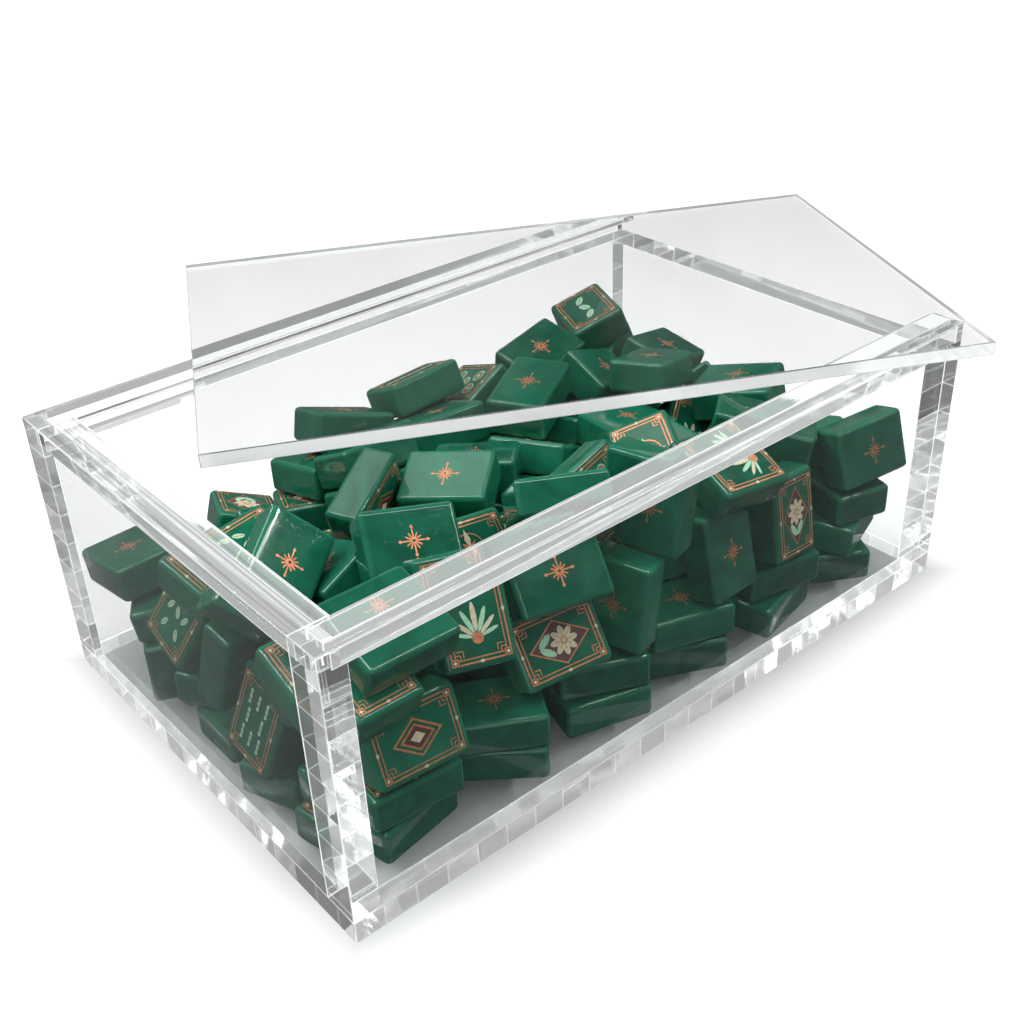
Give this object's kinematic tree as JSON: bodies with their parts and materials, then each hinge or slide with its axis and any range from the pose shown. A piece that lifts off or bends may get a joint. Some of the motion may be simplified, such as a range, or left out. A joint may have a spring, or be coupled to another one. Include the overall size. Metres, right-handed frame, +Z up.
{
  "type": "tile storage box",
  "caption": "Clear acrylic storage box with glued thick walls and grooves for a slide-in lid, filled with a heap of green game tiles, its plain plate lid laid askew on the rim.",
  "frame": {"origin": "middle of the base panel's underside", "axes": "+Z up, +X along the box from its left end wall to its lower right end wall, +Y from front to back"},
  "size_m": [0.325, 0.2578, 0.1028],
  "materials": {
    "clear_acrylic": "clear polished",
    "tile_resin": "polished green resin with inlaid marks"
  },
  "bodies": {
    "box": {"base_panel": "clear_acrylic", "front_wall": "clear_acrylic", "back_wall": "clear_acrylic", "left_end_wall": "clear_acrylic", "right_end_wall": "clear_acrylic", "bamboo_1_tiles": "tile_resin", "bamboo_2_tiles": "tile_resin", "bamboo_3_tiles": "tile_resin", "bamboo_4_tiles": "tile_resin", "bamboo_5_tiles": "tile_resin", "bamboo_6_tiles": "tile_resin", "bamboo_7_tiles": "tile_resin", "bamboo_8_tiles": "tile_resin", "bamboo_9_tiles": "tile_resin", "dot_1_tiles": "tile_resin", "dot_2_tiles": "tile_resin", "dot_3_tiles": "tile_resin", "dot_4_tiles": "tile_resin", "dot_5_tiles": "tile_resin", "dot_6_tiles": "tile_resin", "dot_7_tiles": "tile_resin", "dot_8_tiles": "tile_resin", "dot_9_tiles": "tile_resin", "honour_green_tiles": "tile_resin", "honour_plain_tiles": "tile_resin", "honour_red_tiles": "tile_resin", "leaf_1_tiles": "tile_resin", "leaf_2_tiles": "tile_resin", "leaf_3_tiles": "tile_resin", "leaf_4_tiles": "tile_resin", "leaf_5_tiles": "tile_resin", "leaf_6_tiles": "tile_resin", "leaf_7_tiles": "tile_resin", "leaf_8_tiles": "tile_resin", "leaf_9_tiles": "tile_resin", "season_tiles": "tile_resin", "wind_east_tiles": "tile_resin", "wind_north_tiles": "tile_resin", "wind_south_tiles": "tile_resin", "wind_west_tiles": "tile_resin"},
    "lid": {"lid": "clear_acrylic"},
    "flower_1": {"flower_1_tile": "tile_resin"},
    "flower_2": {"flower_2_tile": "tile_resin"},
    "flower_3": {"flower_3_tile": "tile_resin"},
    "flower_4": {"flower_4_tile": "tile_resin"}
  },
  "joints": [
    {"name": "lid_lift", "type": "slide", "parent": "box", "child": "lid", "axis": [0, 0, 1], "range_m": [0, 0.12]},
    {"name": "flower_1_lift", "type": "slide", "parent": "box", "child": "flower_1", "axis": [0, 0, 1], "range_m": [0, 0.08]},
    {"name": "flower_2_lift", "type": "slide", "parent": "box", "child": "flower_2", "axis": [0, 0, 1], "range_m": [0, 0.08]},
    {"name": "flower_3_lift", "type": "slide", "parent": "box", "child": "flower_3", "axis": [0, 0, 1], "range_m": [0, 0.08]},
    {"name": "flower_4_lift", "type": "slide", "parent": "box", "child": "flower_4", "axis": [0, 0, 1], "range_m": [0, 0.08]}
  ]
}
